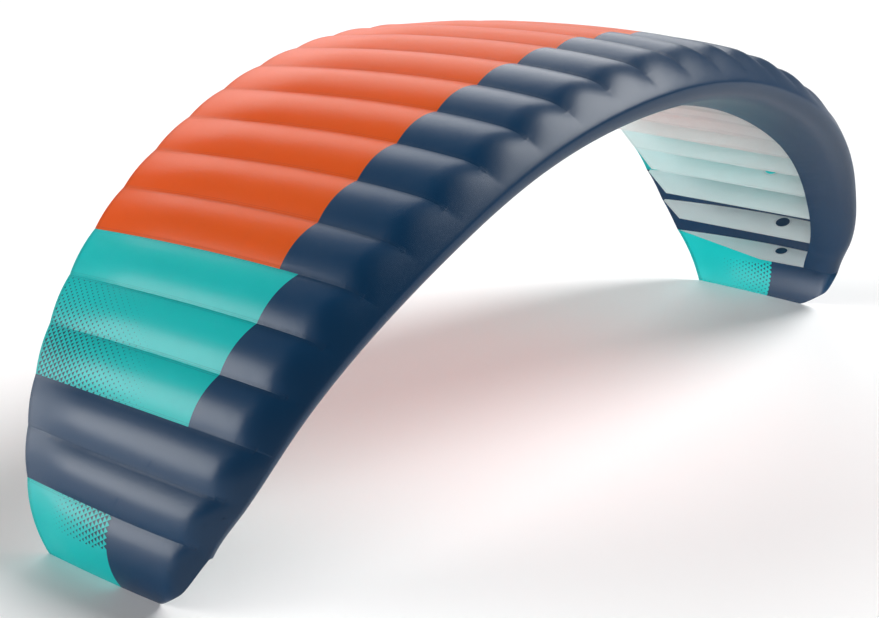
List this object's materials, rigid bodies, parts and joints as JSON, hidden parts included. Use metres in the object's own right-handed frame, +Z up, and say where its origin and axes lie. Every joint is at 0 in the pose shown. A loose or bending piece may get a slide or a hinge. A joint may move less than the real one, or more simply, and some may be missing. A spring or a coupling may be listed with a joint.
{
  "type": "foil kite",
  "caption": "Arched single-skin foil kite of sewn cells, with a rolled nose, ported cloth ribs and colour blocks, standing on its tip edges.",
  "frame": {"origin": "centre of the box round the kite, at the ground that the tips stand on", "axes": "X along the span, -Y the way the nose points, +Z up"},
  "size_m": [3.8456, 1.434, 1.4275],
  "materials": {
    "orange_cloth": "coated ripstop nylon with a soft sheen",
    "teal_cloth": "coated ripstop nylon with a soft sheen",
    "navy_cloth": "coated ripstop nylon with a soft sheen",
    "white_cloth": "thin translucent ripstop nylon"
  },
  "bodies": {
    "root": {"nose_panel_01": "navy_cloth", "nose_panel_02": "navy_cloth", "nose_panel_03": "navy_cloth", "nose_panel_04": "navy_cloth", "nose_panel_05": "navy_cloth", "nose_panel_06": "navy_cloth", "nose_panel_07": "navy_cloth", "rib_01": "white_cloth", "rib_02": "white_cloth", "rib_03": "white_cloth", "rib_04": "white_cloth", "rib_05": "white_cloth", "rib_06": "white_cloth", "rib_07": "white_cloth", "rib_08": "white_cloth", "rib_09": "white_cloth", "rib_10": "white_cloth", "rib_11": "white_cloth", "rib_12": "white_cloth", "rib_13": "white_cloth", "rib_14": "white_cloth", "rib_15": "white_cloth", "rib_16": "white_cloth", "rib_17": "white_cloth", "rib_18": "white_cloth", "rib_19": "white_cloth", "rib_20": "white_cloth", "rib_21": "white_cloth", "rib_22": "white_cloth", "rib_23": "white_cloth", "rib_24": "white_cloth", "rib_25": "white_cloth", "rib_26": "white_cloth", "top_panel_01": "teal_cloth", "top_panel_02": "navy_cloth", "top_panel_03": "navy_cloth", "top_panel_04": "teal_cloth", "top_panel_05": "teal_cloth", "top_panel_06": "teal_cloth", "top_panel_07": "orange_cloth", "top_panel_08": "orange_cloth", "top_panel_09": "orange_cloth", "top_panel_10": "orange_cloth", "top_panel_11": "orange_cloth", "top_panel_12": "orange_cloth", "top_panel_13": "orange_cloth", "top_panel_14": "orange_cloth", "top_panel_15": "orange_cloth", "top_panel_16": "orange_cloth", "top_panel_17": "orange_cloth", "top_panel_18": "orange_cloth", "top_panel_19": "orange_cloth", "top_panel_20": "orange_cloth", "top_panel_21": "orange_cloth", "top_panel_22": "teal_cloth", "top_panel_23": "teal_cloth", "top_panel_24": "teal_cloth", "top_panel_25": "navy_cloth", "top_panel_26": "navy_cloth", "top_panel_27": "teal_cloth"}
  },
  "joints": []
}
